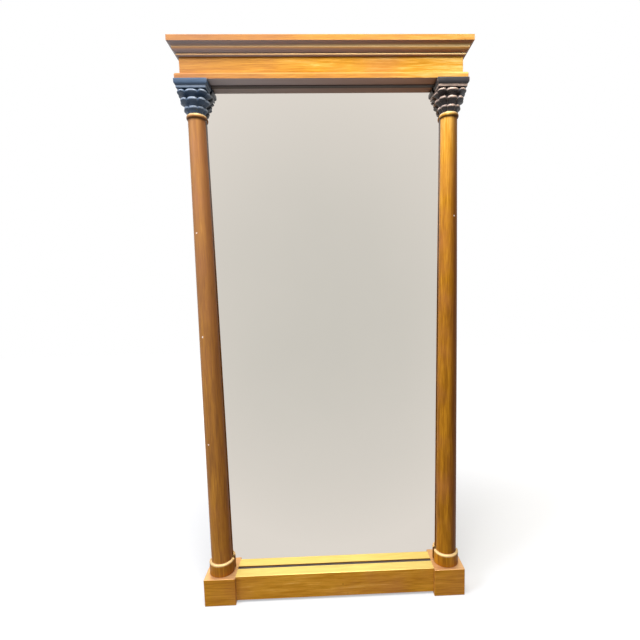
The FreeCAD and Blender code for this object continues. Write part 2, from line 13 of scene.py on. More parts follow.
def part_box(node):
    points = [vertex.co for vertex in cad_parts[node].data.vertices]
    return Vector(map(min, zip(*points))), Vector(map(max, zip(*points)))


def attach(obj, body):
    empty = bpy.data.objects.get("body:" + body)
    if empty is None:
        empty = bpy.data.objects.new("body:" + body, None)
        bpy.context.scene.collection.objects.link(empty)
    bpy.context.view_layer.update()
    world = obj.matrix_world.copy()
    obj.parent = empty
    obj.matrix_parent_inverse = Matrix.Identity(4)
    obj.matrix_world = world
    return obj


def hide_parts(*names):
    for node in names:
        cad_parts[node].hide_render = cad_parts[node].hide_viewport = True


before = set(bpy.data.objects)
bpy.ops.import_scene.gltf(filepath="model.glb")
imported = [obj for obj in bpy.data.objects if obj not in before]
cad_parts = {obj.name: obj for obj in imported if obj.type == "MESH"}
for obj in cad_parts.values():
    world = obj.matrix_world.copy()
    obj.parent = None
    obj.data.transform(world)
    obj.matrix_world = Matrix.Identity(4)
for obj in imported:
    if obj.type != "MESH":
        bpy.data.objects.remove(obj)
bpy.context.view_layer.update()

bl_info = {
    "name": "Giltwood Pier Mirror",
    "version": (1, 0, 0),
    "blender": (4, 5, 0),
    "location": "View3D > Sidebar > Pier Mirror",
    "description": "Carves the capitals and finishes the woodwork, plate and fittings of a giltwood pier mirror",
    "category": "Add Mesh",
}

mm = 0.001
ALONG_X, ALONG_Y, ALONG_Z = 0, 1, 2

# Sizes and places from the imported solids
capital_low, capital_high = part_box("capital_left")
capital_height = capital_high.z - capital_low.z
abacus_width = capital_high.x - capital_low.x
abacus_reach = capital_high.y - capital_low.y
ring_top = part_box("base_ring_left")[1].z
cornice_low, cornice_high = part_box("cornice_front")
cornice_height = cornice_high.z - cornice_low.z

# A leaf's profile from its foot over the lip and back: shares of its way out and of its rise
LEAF_PROFILE = ((-0.12, -0.05), (0.0, 0.10), (0.14, 0.28), (0.34, 0.42), (0.66, 0.52), (0.97, 0.60),
                (1.06, 0.75), (1.01, 0.93), (0.80, 1.04), (-0.2, 1.06))
# Each column of a leaf from its midrib to its edge: its rise, its reach, and how far its flute stands out
LEAF_COLUMNS = ((1.0, 1.0, 0.5), (1.0, 1.0, -0.3), (0.995, 0.995, 0.1), (0.975, 0.98, -0.3),
                (0.925, 0.95, 0.1), (0.80, 0.89, 0.0))
LEAF_LIP = 0.6  # Share of the rise above which a leaf is a plain rolled lip, with no flutes
LIP_HIGHLIGHT = 0.54  # Share of the rise above which a leaf's lip gets painted highlight
FILLET_HIGHLIGHT = 0.75  # How much painted highlight the fillet under the cap gets
# The three tiers: top as a share of the bell's height, share of the curl, reach of the corner leaves
LEAF_TIERS = ((0.283, 0.60, 1.05), (0.633, 0.97, 1.12), (0.95, 1.0, 1.17))
BELL_CURVE = 0.38  # How much of the bell's flare grows with the square of the height
BELL_RINGS, BELL_SIDES = 8, 64
NOSE_ROUNDS, TOP_ROUNDS, FILLET_ROUNDS = 6, 4, 3  # Facets across the rounded edges of the cap and fillet
CARVER_SEED = 8  # Seed of the carver's unevenness
SHARP_ANGLE = math.radians(42)  # Carved edges sharper than this stay crisp
WELD = 0.01 * mm  # Points closer than this are one point

# Fillets of the front cornice painted pale as highlight: height of the middle and half the width, in metres
CORNICE_HIGHLIGHTS = tuple((cornice_low.z + share * cornice_height, half_width * mm)
                      for share, half_width in ((0.4444, 2.8), (0.0931, 2.6)))

# The lip of the base rings, painted pale as highlight in the same way
RING_HIGHLIGHTS = ((ring_top, 6 * mm),)

# Pale chips in the gesso and dark nail holes: place in metres, radius in metres
LEFT_CHIPS = (((-0.2795, -0.0196, 0.854), 0.0021), ((-0.2794, -0.0214, 0.630), 0.0024),
              ((-0.2806, -0.0223, 0.3845), 0.0023))
RIGHT_CHIPS = (((0.2785, -0.0199, 0.882), 0.0017),)
NAIL_HOLES = (((0.0172, -0.0300, 0.0360), 0.0012), ((0.0286, -0.0300, 0.0124), 0.0011),
              ((0.2352, -0.0200, 1.1758), 0.0011))

BOARD_SHIFT = 0.37  # How far the figure of one back board lies from that of the next, in metres
SENSOR_WIDTH = 36  # Width in mm of the frame that the lens is given for
LAMP_TARGET = (0.0, 0.0, 0.7)  # What the lamps point at, near the object's middle


def linear(hex_colour):
    """An sRGB hex colour as the linear RGBA that Blender's sockets take."""
    channels = [int(hex_colour[start:start + 2], 16) / 255 for start in (1, 3, 5)]
    return (*[c / 12.92 if c <= 0.04045 else ((c + 0.055) / 1.055) ** 2.4 for c in channels], 1.0)


def colour(name, description, hex_colour):
    """A colour property with its default as an sRGB hex colour."""
    return FloatVectorProperty(name=name, description=description, subtype="COLOR", size=4, min=0, max=1,
                               default=linear(hex_colour))


def length(name, description, millimetres):
    """A length property with its default in millimetres."""
    return FloatProperty(name=name, description=description, unit="LENGTH", min=0,
                         default=millimetres * mm)


class CapitalSizes(bpy.types.PropertyGroup):
    """Sizes of the carved half capitals."""

    abacus_height: length("Abacus height", "Height of the square cap", 14)
    nose_radius: length("Nose radius", "Rounding of the cap's lower edge", 6)
    top_radius: length("Top radius", "Rounding of the cap's upper edge", 3)
    taenia_height: length("Fillet height", "Height of the plain fillet under the cap", 4.5)
    taenia_inset: length("Fillet inset", "How far the fillet stands back from the cap", 3.2)
    taenia_radius: length("Fillet radius", "Rounding of the fillet's lower edge", 1.2)
    bell_foot_radius: length("Bell foot", "Radius of the bell at the neck", 18.6)
    bell_head_radius: length("Bell head", "Radius of the bell under the cap", 27)
    leaf_relief: length("Leaf relief", "How far a leaf's foot stands out from the bell", 1.2)
    leaf_curl: length("Leaf curl", "How far the largest lips stand out from the bell", 7.3)
    leaf_axis: length("Leaf axis", "Distance from the column's axis to the axis a leaf swells round", 7)
    leaf_depth: length("Leaf depth", "How deep a leaf's sides go into the bell", 7)
    flute_depth: length("Flute depth", "Depth of the hollows beside a leaf's midrib", 0.6)
    leaf_count: IntProperty(name="Leaves", description="Leaves that a whole round would have", default=9, min=4)
    leaf_width: FloatProperty(name="Leaf width", description="Width of a front or side leaf as a share of its room",
                              default=1.25, min=0.1, max=1.5)
    corner_width: FloatProperty(name="Corner width", description="Width of a corner leaf as a share of its room",
                                default=0.92, min=0.1, max=1.5)
    hand: FloatProperty(name="Hand", description="How unevenly the carver's leaves come out",
                        subtype="FACTOR", default=0.025, min=0, max=0.2)


class FinishColours(bpy.types.PropertyGroup):
    """Colours of the finishes."""

    gilt: colour("Gilt", "Toned gilding in its middle tone", "#B4781C")
    gilt_deep: colour("Deep gilt", "Gilding where the toning lies thick", "#8F5A14")
    gilt_dark: colour("Dark gilt", "Gilding in the darkest streaks", "#6B4210")
    gilt_light: colour("Light gilt", "Gilding where it is rubbed bright", "#CF9330")
    # Painted highlight on lips, fillets and the tops of turned pieces
    gilt_pale: colour("Pale gilt", "Gilding where most gold is kept", "#E8BE6A")
    band: colour("Rubbed band", "Lips and fillets that dusting has rubbed pale", "#EBC78A")
    # Painted highlight of the rail's top faces
    painted_top_highlight: colour("Bright gilt", "Gilding of top faces, burnished by dusting", "#FAE389")
    bole: colour("Bole", "Red clay ground that shows through thin gilding", "#AC6A3C")
    # A dull pinkish coat toward the upper left: thin gilding, and painted cool light
    thin: colour("Thin gilt", "Gilding so thin that the pinkish clay dulls it", "#AC7A58")
    # Edges rubbed to the clay, also painted lighter as the highlight of their rounding
    edge_rub_and_highlight: colour("Rubbed edge", "Edges rubbed through to the pinkish clay", "#CC9068")
    # Painted highlight of the plinth blocks' top faces
    painted_block_top_highlight: colour("Block tops", "Top faces of the plinth blocks, rubbed and dusty", "#E8B983")
    # Also painted shade of faces that look down
    ground: colour("Ungilt ground", "Grey-brown ground of undersides that were never gilt", "#A2999A")
    # Also painted shade of faces that look down, toward the right
    warm_ground_and_shade: colour("Warm ground", "Ground of undersides toward the right", "#94684C")
    # Dirt in pores, and also painted shade in hollows and under turned pieces
    grime_and_shade: colour("Grime", "Old dirt in hollows and pores", "#4C2F17")
    # Painted shade round the right side of turned pieces
    shade: colour("Shade toning", "Red-brown toning round the right side of turned pieces", "#5A2A0E")
    gesso: colour("Gesso", "Pale ground that shows in a chip", "#F8E3CC")
    # Bluish with painted cool light, as on the left capital
    ebony_cool_lit: colour("Ebonised wood", "Black stained carving", "#3A4C61")
    # Painted highlight on the left capital's lips and edges, standing also for rubbing and dust
    ebony_rub_and_highlight: colour("Rubbed ebonising", "Carving where the black is worn and dusty", "#939DA8")
    # The right capital's black, browner and without the painted cool light
    ebony_browner_right: colour("Faded ebonising", "Black of the right-hand capital, faded brown", "#2C2829")
    # Painted highlight on the right capital's lips and edges, standing also for rubbing and dust
    ebony_tan_highlight: colour("Tan ebonising", "Rubbed lips of the right-hand capital", "#E4C4AC")
    # Also painted shade in the narrow gaps beside the glass
    stain: colour("Dark stain", "Stained frame behind the columns", "#38302B")
    stain_light: colour("Light stain", "Stained frame between the grain lines", "#5A4F48")
    pine: colour("Old pine", "Bare pine in its middle tone", "#B08A5C")
    pine_late: colour("Pine late wood", "Darker growth lines of bare pine", "#8A6238")
    silvering: colour("Silvering", "Reflection of the old plate", "#DED7CE")
    # Painted dimming of the reflection about the plate's middle
    silvering_dimmed: colour("Smoky silvering", "Reflection where the silvering is smoky", "#C9C5BC")
    steel: colour("Screw steel", "Dull steel of the screws", "#7C7871")
    rust: colour("Rust", "Rust flecks on the screws", "#5A3A26")
    brass: colour("Brass", "Old brass of the hangers", "#B08D4C")
    tarnish: colour("Tarnish", "Brown tarnish on the brass", "#5B4526")


class StageSettings(bpy.types.PropertyGroup):
    """Floor, lamps and camera."""

    floor: colour("Floor", "Pale paper floor", "#B8B6B2")
    floor_size: FloatProperty(name="Floor size", description="Width of the floor", unit="LENGTH", default=9)
    floor_lift: FloatProperty(name="Floor lift", description="White added to the floor far from the object",
                              default=0.92)
    daylight: FloatProperty(name="Daylight", description="Level of the white room as it lights the object",
                            default=0.15)
    key_watts: FloatProperty(name="Key lamp", description="Power of the high front lamp", unit="POWER",
                             default=36)
    window_watts: FloatProperty(name="Window lamp", description="Power of the broad cool lamp at the left",
                                unit="POWER", default=92)
    back_watts: FloatProperty(name="Back lamp", description="Power of the soft lamp behind", unit="POWER",
                              default=14)
    lens: FloatProperty(name="Lens", description="Focal length in mm on a 36 mm frame", unit="CAMERA",
                        default=23.22)
    camera_place: FloatVectorProperty(name="Camera", description="Where the camera stands", subtype="XYZ",
                                      unit="LENGTH", default=(-0.00506, -0.93629, 0.71341))
    camera_turn: FloatVectorProperty(name="Camera turn", description="Pitch down, yaw right and roll",
                                     subtype="EULER", default=[math.radians(a) for a in (6.43, 1.91, -1.26)])
    camera_shift: FloatVectorProperty(name="Camera shift", description="Shift of the frame", size=2,
                                      default=(-0.0329, 0.0350))


# Helpers for modelling


def select_where(piece, chosen):
    """Selects the edit-mode vertices whose place passes the test, with the edges and faces between them."""
    bpy.ops.mesh.select_all(action="DESELECT")
    mesh = bmesh.from_edit_mesh(piece.data)
    for vert in mesh.verts:
        vert.select_set(chosen(vert.co))
    mesh.select_flush(True)
    bmesh.update_edit_mesh(piece.data)


def add_modifier(piece, kind, **settings):
    """Adds a modifier, sets it and applies it."""
    modifier = piece.modifiers.new(kind.title(), kind)
    for name, value in settings.items():
        setattr(modifier, name, value)
    bpy.ops.object.modifier_apply(modifier=modifier.name)


def draw_profile(points):
    """Starts a mesh in edit mode with a line through these points."""
    bpy.ops.object.select_all(action="DESELECT")
    bpy.ops.mesh.primitive_plane_add(size=mm, enter_editmode=True)
    bpy.ops.mesh.merge(type="CENTER")
    bpy.ops.transform.translate(value=points[0])
    for start, end in zip(points, points[1:]):
        bpy.ops.mesh.extrude_vertices_move(TRANSFORM_OT_translate={"value": end - start})
    return bpy.context.object


# Carved capitals


def mark_lip_highlight(piece, share):
    """Writes how much painted highlight each point of the carving gets, partly standing for rubbing, for the ebonised
    finish to read.
    """
    rubbed = piece.data.attributes.new("lip_highlight", "FLOAT", "POINT")
    for vert in piece.data.vertices:
        rubbed.data[vert.index].value = share(vert.co)


def bell_height(sizes):
    """Height from the capital's foot to the fillet."""
    return capital_height - sizes.abacus_height - sizes.taenia_height


def bell_radius(sizes, z):
    """Radius of the bell at a height: it flares toward the cap."""
    share = z / bell_height(sizes)
    flare = (1 - BELL_CURVE) * share + BELL_CURVE * share * share
    return sizes.bell_foot_radius + (sizes.bell_head_radius - sizes.bell_foot_radius) * flare


def carve_leaf(sizes, foot_z, tip_z, tip_radius, reach, width):
    """One leaf facing front: half of it is spun round its own axis, arched, fluted and mirrored, then backed."""
    rise = tip_z - foot_z
    foot_radius = bell_radius(sizes, foot_z) + sizes.leaf_relief
    lip_radius = tip_radius * reach
    axis = Vector((0, -sizes.leaf_axis, 0))
    points = [Vector((0, -foot_radius - out * (lip_radius - foot_radius), foot_z + up * rise))
              for out, up in LEAF_PROFILE]
    leaf = draw_profile(points)
    half_width = tip_radius * math.tan(math.pi / sizes.leaf_count) * width
    half_angle = math.asin(half_width / (lip_radius - sizes.leaf_axis))
    columns = len(LEAF_COLUMNS) - 1
    bpy.ops.mesh.select_all(action="SELECT")
    bpy.ops.mesh.spin(steps=columns, angle=half_angle, center=axis, axis=(0, 0, 1))

    def column_of(place):
        """Which column a point is in, counted from the midrib."""
        return round(math.atan2(abs(place.x), axis.y - place.y) / half_angle * columns)

    bpy.ops.mesh.select_all(action="SELECT")
    bpy.ops.mesh.remove_doubles(threshold=WELD)
    # The side that the spin went to
    side = math.copysign(1, sum(vert.co.x for vert in bmesh.from_edit_mesh(leaf.data).verts))
    for index, (rise_share, reach_share, flute) in enumerate(LEAF_COLUMNS):
        angle = half_angle * index / columns
        outward = Vector((side * math.sin(angle), -math.cos(angle), 0))
        select_where(leaf, lambda place: column_of(place) == index and place.z < foot_z + LEAF_LIP * rise)
        bpy.ops.transform.translate(value=outward * flute * sizes.flute_depth)
        select_where(leaf, lambda place: column_of(place) == index)
        bpy.ops.transform.resize(value=(reach_share, reach_share, rise_share), center_override=(0, axis.y, foot_z))
    bpy.ops.object.mode_set(mode="OBJECT")
    mark_lip_highlight(leaf, lambda place: (place.z > foot_z + LIP_HIGHLIGHT * rise) * (1 - (column_of(place) / columns) ** 2))
    add_modifier(leaf, "MIRROR", use_axis=(True, False, False), use_clip=True, merge_threshold=WELD)
    bpy.ops.object.mode_set(mode="EDIT")
    bpy.ops.mesh.select_all(action="SELECT")
    bpy.ops.mesh.region_to_loop()
    bpy.ops.mesh.extrude_region_move(TRANSFORM_OT_translate={"value": (0, sizes.leaf_depth, 0)})
    bpy.ops.mesh.edge_face_add()
    bpy.ops.mesh.select_all(action="SELECT")
    bpy.ops.mesh.normals_make_consistent(inside=False)
    bpy.ops.object.mode_set(mode="OBJECT")
    add_modifier(leaf, "SUBSURF", levels=2, render_levels=2)
    return leaf


def ring_of_leaves(sizes, plain, corner, dice):
    """Copies two leaves by turns round the front half of the bell, each a little uneven, and removes the patterns."""
    pitch = math.tau / sizes.leaf_count
    copies = []
    each_side = sizes.leaf_count // 4
    for step in range(-each_side, each_side + 1):
        leaf = corner if step % 2 else plain
        bpy.ops.object.select_all(action="DESELECT")
        leaf.select_set(True)
        bpy.context.view_layer.objects.active = leaf
        bpy.ops.object.duplicate()
        copy = bpy.context.object
        copy.scale = (1 + sizes.hand * dice.uniform(-1, 1), 1 - sizes.hand * dice.random() * 0.5, 1)
        copy.rotation_euler.z = step * pitch + pitch * sizes.hand * dice.uniform(-1, 1)
        bpy.ops.object.transform_apply(location=True, rotation=True, scale=True)
        copies.append(copy)
    bpy.data.objects.remove(plain)
    bpy.data.objects.remove(corner)
    return copies


def turn_bell(sizes):
    """The bell that the leaves grow from, turned whole; its back half is sawn off later."""
    height = bell_height(sizes)
    levels = [height * ring / BELL_RINGS for ring in range(BELL_RINGS + 1)]
    points = [Vector((0, 0, 0)), *[Vector((0, -bell_radius(sizes, z), z)) for z in levels], Vector((0, 0, height))]
    bell = draw_profile(points)
    bpy.ops.mesh.select_all(action="SELECT")
    bpy.ops.mesh.spin(steps=BELL_SIDES, angle=math.tau, center=(0, 0, 0), axis=(0, 0, 1))
    bpy.ops.mesh.select_all(action="SELECT")
    bpy.ops.mesh.remove_doubles(threshold=WELD)
    bpy.ops.mesh.normals_make_consistent(inside=False)
    bpy.ops.object.mode_set(mode="OBJECT")
    return bell


def saw_block(half_width, reach, low, high, edges):
    """A block against the back plane; edges lists a level, a radius and its rounds for the edges to be rounded."""
    bpy.ops.object.select_all(action="DESELECT")
    bpy.ops.mesh.primitive_cube_add(size=1, location=(0, -reach / 2, (low + high) / 2),
                                    scale=(2 * half_width, reach, high - low))
    block = bpy.context.object
    bpy.ops.object.transform_apply(location=True, rotation=True, scale=True)
    bpy.ops.object.mode_set(mode="EDIT")
    bpy.ops.mesh.select_mode(type="EDGE")
    for level, radius, rounds in edges:
        bpy.ops.mesh.select_all(action="DESELECT")
        mesh = bmesh.from_edit_mesh(block.data)
        for edge in mesh.edges:
            ends = [vert.co for vert in edge.verts]
            at_level = all(abs(end.z - level) < WELD for end in ends)
            edge.select_set(at_level and min(end.y for end in ends) < -reach / 2)
        bmesh.update_edit_mesh(block.data)
        bpy.ops.mesh.bevel(offset=radius, segments=rounds, affect="EDGES")
    bpy.ops.mesh.select_mode(type="VERT")
    bpy.ops.object.mode_set(mode="OBJECT")
    return block


def saw_abacus(sizes):
    """The square cap with its rounded nose, and the plain fillet that goes up into it."""
    block_z = capital_height - sizes.abacus_height
    fillet_z = block_z - sizes.taenia_height
    half = abacus_width / 2
    inset = sizes.taenia_inset
    cap = saw_block(half, abacus_reach, block_z, capital_height,
                    ((block_z, sizes.nose_radius, NOSE_ROUNDS), (capital_height, sizes.top_radius, TOP_ROUNDS)))
    fillet = saw_block(half - inset, abacus_reach - inset, fillet_z, block_z + inset,
                       ((fillet_z, sizes.taenia_radius, FILLET_ROUNDS),))
    mark_lip_highlight(fillet, lambda place: FILLET_HIGHLIGHT)
    return [cap, fillet]


def saw_flat(piece):
    """Saws off what passes the flat back plane and closes the cut."""
    bpy.ops.object.select_all(action="DESELECT")
    piece.select_set(True)
    bpy.context.view_layer.objects.active = piece
    bpy.ops.object.mode_set(mode="EDIT")
    bpy.ops.mesh.select_all(action="SELECT")
    bpy.ops.mesh.bisect(plane_co=(0, 0, 0), plane_no=(0, 1, 0), use_fill=True, clear_outer=True)
    bpy.ops.object.mode_set(mode="OBJECT")


def carve_capital(sizes):
    """A whole half capital with its axis on the origin and its foot at height zero."""
    dice = random.Random(CARVER_SEED)
    height = bell_height(sizes)
    blanks = [turn_bell(sizes)]
    foot_z = 0
    for top_share, curl_share, corner_reach in LEAF_TIERS:
        tip_z = top_share * height
        tip_radius = bell_radius(sizes, tip_z) + sizes.leaf_curl * curl_share
        plain = carve_leaf(sizes, foot_z, tip_z, tip_radius, 1.0, sizes.leaf_width)
        corner = carve_leaf(sizes, foot_z, tip_z, tip_radius, corner_reach, sizes.corner_width)
        blanks += ring_of_leaves(sizes, plain, corner, dice)
        foot_z = tip_z
    for blank in blanks:
        saw_flat(blank)
    blanks += saw_abacus(sizes)
    bpy.ops.object.select_all(action="DESELECT")
    for blank in blanks:
        blank.select_set(True)
    capital = blanks[0]
    bpy.context.view_layer.objects.active = capital
    bpy.ops.object.join()
    bpy.ops.object.shade_smooth_by_angle(angle=SHARP_ANGLE)
    return capital


# Finishes


def add_node(tree, kind, inputs=None, output=0, stops=(), **settings):
    """Adds a shader node and gives back one of its outputs, or nothing where it has none. Inputs are values or the
    sockets that feed them, stops are a ramp's places and colours, and settings are the node's own."""
    node = tree.nodes.new("ShaderNode" + kind)
    for name, value in settings.items():
        setattr(node, name, value)
    for key, value in (inputs or {}).items():
        if isinstance(value, bpy.types.NodeSocket):
            tree.links.new(value, node.inputs[key])
        else:
            node.inputs[key].default_value = value
    for _ in stops[2:]:
        node.color_ramp.elements.new(1)
    for index, stop in enumerate(stops):
        node.color_ramp.elements[index].position, node.color_ramp.elements[index].color = stop
    return node.outputs[output] if node.outputs else None


def start_material(name):
    """An empty node material, what adds nodes to it, and the socket of Object coordinates."""
    material = bpy.data.materials.new(name)
    material.use_nodes = True
    material.node_tree.nodes.clear()
    add = functools.partial(add_node, material.node_tree)
    return material, add, add("TexCoord", output="Object")


def close_material(add, **sockets):
    """Ends a material in a Principled shader; the names of sockets have _ for a space."""
    shader = add("BsdfPrincipled", {name.replace("_", " "): value for name, value in sockets.items()})
    add("OutputMaterial", {"Surface": shader})


def lay_coats(add, ground, coats):
    """Lays coats of colour over a ground. Each coat has the pattern that it follows, the pattern's values where there
    is none of the coat and where it is full, the share of it at its fullest, and its colour."""
    tone = ground
    for pattern, none, full, share, coat in coats:
        cover = add("MapRange", {"Value": pattern, "From Min": none, "From Max": full, "To Max": share})
        # A colour mix has its factor at input 0, its colours at 6 and 7, and its result at output 2
        tone = add("Mix", {0: cover, 6: tone, 7: coat}, 2, data_type="RGBA")
    return tone


def streaky(add, place, axis, width, run, detail=4.0):
    """Noise drawn out along an axis, as wide and long as a grain streak in metres."""
    stretch = [1.0, 1.0, 1.0]
    stretch[axis] = width / run
    drawn = add("Mapping", {"Vector": place, "Scale": stretch})
    return add("TexNoise", {"Vector": drawn, "Scale": 1 / width, "Detail": detail, "Roughness": 0.6,
                            "Distortion": 0.25})


def edge_lean(add, radius):
    """How far the surface agrees with one whose edges are rounded: one on flats, less along edges."""
    rounded = add("Bevel", {"Radius": radius}, samples=6)
    return add("VectorMath", {0: rounded, 1: add("NewGeometry", output="Normal")}, "Value",
               operation="DOT_PRODUCT")


def spot(add, place, centre, radius):
    """Distance in metres from the middle of a small spot, uneven so that its edge is ragged."""
    ragged = add("TexNoise", {"Vector": place, "Scale": 1 / radius, "Detail": 2}, "Color")
    stray = 0.7 * radius  # How far noise, which lies about a half, shifts each point either way
    moved = add("VectorMath", {0: ragged, 1: [2 * stray] * 3, 2: place}, operation="MULTIPLY_ADD")
    return add("VectorMath", {0: moved, 1: [c + stray for c in centre]}, "Value", operation="DISTANCE")


def toward(add, place, x_none, x_full, z_none, z_full):
    """A slow change over the whole object: one toward the full X and Z, nothing toward the others."""
    across = add("MapRange", {"Value": add("SeparateXYZ", {"Vector": place}, "X"),
                              "From Min": x_none, "From Max": x_full})
    return add("MapRange", {"Value": add("SeparateXYZ", {"Vector": place}, "Z"),
                            "From Min": z_none, "From Max": z_full, "To Max": across})


def gilded_wood(name, colours, axis, toning, top, thinness=0.0, turned=None, highlight_bands=(), chips=(), holes=()):
    """Giltwood: gold leaf over thin gesso on softwood, toned brown. Fine streaks of the grain and soft mottling show,
    the red-brown ground glows through in patches, edges are rubbed to the pink clay and painted lighter as highlight,
    and hollows keep brown dirt, darkened further as painted shade. Toning is how many tones darker it is than the
    middle one, and thinness how far a dull pinkish coat shows everywhere, thin gilding with painted cool light. The
    gilding is painted lighter toward the upper right as a pool of light, and faces that look down are grey-brown,
    ungilt ground with painted shade. The top is the colour of faces that look up and how metallic they are, a painted
    highlight on most pieces. A turned piece has painted shade round its right side, between two values of its normal's
    X, and under its lips. Bands of highlight are the heights and half widths of lips and fillets painted pale as
    highlight.
    Chips and holes are spots with a place and a radius."""
    material, add, place = start_material(name)
    normal = add("NewGeometry", output="Normal")
    upward = add("SeparateXYZ", {"Vector": normal}, "Z")
    openness = add("AmbientOcclusion", {"Distance": 5 * mm}, "AO", samples=8)
    grain = streaky(add, place, axis, 1.7 * mm, 45 * mm)
    mottle = streaky(add, place, axis, 9 * mm, 110 * mm)
    # Pores are finer than a pixel of the main view, so they are drawn 1.1 mm wide to show at all
    pores = streaky(add, place, axis, 1.1 * mm, 9 * mm, detail=2.0)
    patches = add("TexNoise", {"Vector": place, "Scale": 1 / (95 * mm), "Detail": 3})
    streaks = add("Math", {0: grain, 1: mottle}, operation="ADD")
    # The ramp's tones lie a step apart about a half, and streaks move along it by the spread either way
    step, spread = 0.19, 0.26
    middle = 0.5 - step * toning
    toned = add("MapRange", {"Value": streaks, "From Min": 0.6, "From Max": 1.4,
                             "To Min": middle - spread, "To Max": middle + spread})
    # The gilding is pinker and duller toward the upper left, thin gilding with painted cool light, and painted lighter
    # toward the upper right as a pool of light
    thin = toward(add, place, x_none=0.0, x_full=-0.3, z_none=0.2, z_full=0.9)
    bright = toward(add, place, x_none=-0.15, x_full=0.3, z_none=0.8, z_full=1.15)
    # How far the painted pool of light toward the upper right lifts the tone along the ramp toward the pale gilt
    lift = 0.45 if turned else 0.24 + 0.14 * toning
    kept = add("Math", {0: bright, 1: lift, 2: toned}, operation="MULTIPLY_ADD")
    tones = colours.gilt_dark, colours.gilt_deep, colours.gilt, colours.gilt_light, colours.gilt_pale
    tone = add("ValToRGB", {"Fac": kept}, stops=[(0.5 + step * k, each) for k, each in enumerate(tones, -2)])
    # Edges are rubbed to the pink clay and also painted lighter as the highlight of a rounded edge
    worn = add("MapRange", {"Value": mottle, "From Min": 0.3, "From Max": 0.6, "To Min": 0.25, "To Max": 0.7})
    highlight_share = add("MapRange", {"Value": grain, "From Min": 0.3, "From Max": 0.6, "To Min": 0.75})
    coats = [(patches, 0.48, 0.72, 0.45, colours.bole), (pores, 0.66, 0.78, 0.4, colours.grime_and_shade),
             (edge_lean(add, 2.4 * mm), 0.985, 0.80, worn, colours.edge_rub_and_highlight)]
    height = add("SeparateXYZ", {"Vector": place}, "Z")
    # Painted highlight bands on lips and fillets lie under the later coats, and where the painted pool of light is
    # strong they are painted again on top as glints
    rubbed, painted_glints = [], []
    for band_z, half_width in highlight_bands:
        above = add("Math", {0: height, 1: band_z}, operation="SUBTRACT")
        band = add("Math", {0: above}, operation="ABSOLUTE"), half_width, 0.4 * half_width
        rubbed.append((*band, highlight_share, colours.band))
        painted_glints.append((*band, bright, colours.band))
    coats += rubbed
    coats.append((thin, -thinness, 1, 0.4 + 0.2 * thinness, colours.thin))
    # A turned piece gets red-brown painted shade round its right side
    if turned:
        coats.append((add("SeparateXYZ", {"Vector": normal}, "X"), *turned, 0.75, colours.shade))
    top_tone, top_metal = top
    top_none, top_full = (0.05, 0.4) if turned else (0.4, 0.9)
    # Faces that look down are grey-brown, warmer toward the right: ungilt ground with painted shade
    shaded_underside = lay_coats(add, colours.ground, [
        (add("SeparateXYZ", {"Vector": place}, "X"), -0.2, 0.25, 1, colours.warm_ground_and_shade)])
    # Faces that look up get a painted highlight on most pieces; under turned pieces faces that look down get painted
    # shade; hollows that the AO finds are darkened with dirt and painted shade
    coats += [(upward, top_none, top_full, highlight_share, top_tone),
              (upward, -0.03, -0.5, 0.9, colours.grime_and_shade) if turned else (upward, -0.2, -0.8, 1, shaded_underside),
              *painted_glints, (openness, 0.75, 0.15, 0.7, colours.grime_and_shade)]
    for spots, spot_tone in ((chips, colours.gesso), (holes, colours.grime_and_shade)):
        coats += [(spot(add, place, centre, radius), radius, radius * 0.75, 1, spot_tone)
                  for centre, radius in spots]
    close_material(
        add, Base_Color=lay_coats(add, tone, coats), Specular_IOR_Level=0.2,
        Metallic=add("MapRange", {"Value": upward, "From Min": top_none, "From Max": top_full,
                                  "To Min": 0.06, "To Max": top_metal}),
        Roughness=add("MapRange", {"Value": mottle, "From Min": 0.3, "From Max": 0.7, "To Min": 0.40, "To Max": 0.55}),
        Specular_Tint=lay_coats(add, colours.gilt_light, [(thin, 0, 1, 1, colours.gesso)]),
        Normal=add("Bump", {"Height": toned, "Strength": 0.12, "Distance": 0.35 * mm}))
    return material


